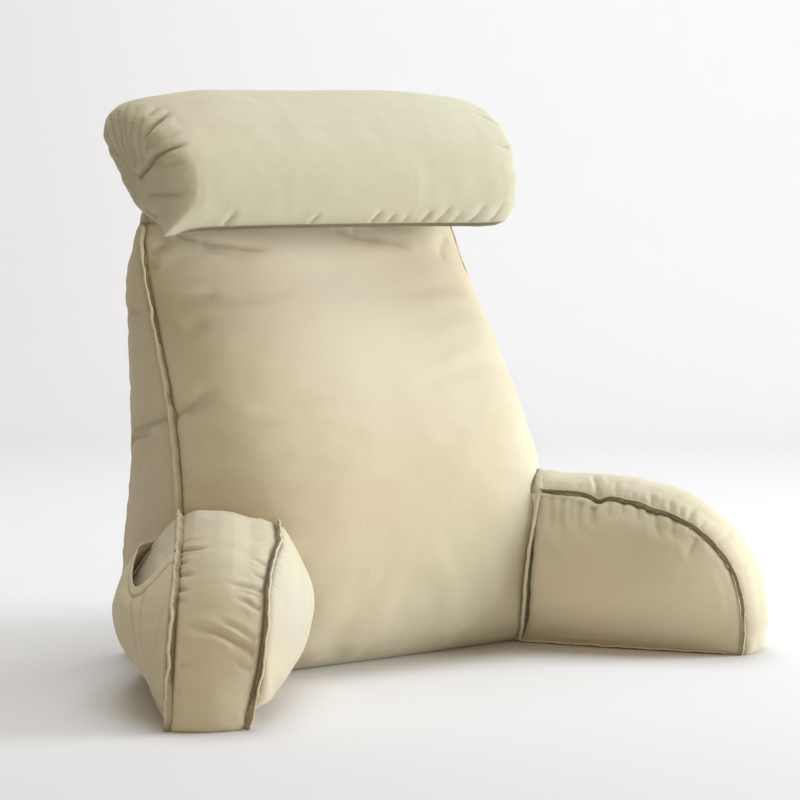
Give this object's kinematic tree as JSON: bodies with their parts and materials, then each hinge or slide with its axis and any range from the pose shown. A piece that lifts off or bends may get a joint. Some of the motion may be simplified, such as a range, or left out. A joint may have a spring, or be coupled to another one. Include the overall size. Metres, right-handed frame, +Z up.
{
  "type": "reading pillow with arms",
  "caption": "Wedge-shaped backrest pillow with bulging boxed arms, piped seams, a gathered neck roll on its top edge and an open patch pocket on the outside of an arm.",
  "frame": {"origin": "middle of the backrest's flat underside, on the surface that the pillow stands on", "axes": "+Z up; the front, where the person leans, faces -Y; +X runs across the backrest toward the arm without a pocket"},
  "size_m": [0.76, 0.4363, 0.6102],
  "materials": {
    "body_cloth": "brushed microfibre, matt, pale khaki beige",
    "roll_cloth": "brushed microfibre, matt, a slightly paler khaki beige",
    "welt_cloth": "the same cloth folded into a raised seam"
  },
  "bodies": {
    "root": {"back_cushion": "body_cloth", "arm_left": "body_cloth", "arm_right": "body_cloth", "neck_roll": "roll_cloth", "arm_pocket": "body_cloth", "welt_back_left": "welt_cloth", "welt_back_right": "welt_cloth", "welt_root_left": "welt_cloth", "welt_root_right": "welt_cloth", "welt_arm_left_inner": "welt_cloth", "welt_arm_left_outer": "welt_cloth", "welt_arm_right_inner": "welt_cloth", "welt_arm_right_outer": "welt_cloth", "welt_sole_left": "welt_cloth", "welt_sole_right": "welt_cloth"}
  },
  "joints": []
}
